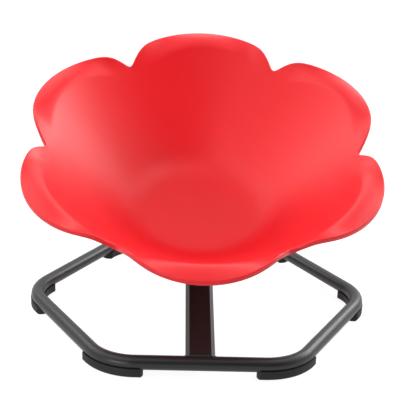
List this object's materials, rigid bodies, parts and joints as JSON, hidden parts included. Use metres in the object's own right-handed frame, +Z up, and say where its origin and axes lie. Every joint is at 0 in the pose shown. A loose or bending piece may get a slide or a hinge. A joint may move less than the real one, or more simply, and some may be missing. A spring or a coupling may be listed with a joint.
{
  "type": "toddler spinning seat",
  "caption": "Low toddler seat: a petal-edged plastic bowl spins freely on a tilted ball-bearing hub, carried by a sloping bar on a hexagonal tube base with rubber feet.",
  "frame": {"origin": "on the floor, at the middle of the hexagonal base", "axes": "+Z up from the floor, -Y to the front where the bowl opens, +X to the right seen from behind the seat"},
  "size_m": [0.6406, 0.6335, 0.4731],
  "materials": {
    "coated_steel": "fine textured powder coat",
    "foot_rubber": "matte",
    "seat_plastic": "fine grained satin",
    "bearing_steel": "ground and polished",
    "zinc_steel": "zinc plated",
    "brass": "machined",
    "black_plastic": "moulded"
  },
  "bodies": {
    "base": {"base_ring": "coated_steel", "support_bar": "coated_steel", "bearing_housing": "coated_steel", "foot_right": "foot_rubber", "foot_rear_right": "foot_rubber", "foot_rear_left": "foot_rubber", "foot_left": "foot_rubber", "foot_front_left": "foot_rubber", "foot_front_right": "foot_rubber", "foot_screws": "zinc_steel", "upper_outer_race": "bearing_steel", "lower_outer_race": "bearing_steel", "retaining_ring": "bearing_steel", "hub_cap": "black_plastic"},
    "seat": {"seat_shell": "seat_plastic", "seat_plate": "coated_steel", "spindle": "bearing_steel", "upper_inner_race": "bearing_steel", "lower_inner_race": "bearing_steel", "race_spacer": "zinc_steel", "hub_seal": "foot_rubber", "spindle_washer": "zinc_steel", "lock_nut": "zinc_steel", "seat_inserts": "brass", "seat_bolts": "zinc_steel", "bolt_washers": "zinc_steel"},
    "upper_ball_set": {"upper_balls": "bearing_steel", "upper_cage": "brass"},
    "lower_ball_set": {"lower_balls": "bearing_steel", "lower_cage": "brass"}
  },
  "joints": [
    {"name": "seat_spin", "type": "hinge", "parent": "base", "child": "seat", "pos_m": [0, 0.1005, 0.11174], "axis": [0, -0.4147, 0.91], "continuous": true},
    {"name": "upper_ball_orbit", "type": "hinge", "parent": "base", "child": "upper_ball_set", "pos_m": [0, 0.1005, 0.11174], "axis": [0, -0.4147, 0.91], "continuous": true},
    {"name": "lower_ball_orbit", "type": "hinge", "parent": "base", "child": "lower_ball_set", "pos_m": [0, 0.1005, 0.11174], "axis": [0, -0.4147, 0.91], "continuous": true}
  ],
  "couplings": [
    {"joint": "upper_ball_orbit", "follows": "seat_spin", "ratio": 0.4087},
    {"joint": "lower_ball_orbit", "follows": "seat_spin", "ratio": 0.4087}
  ]
}
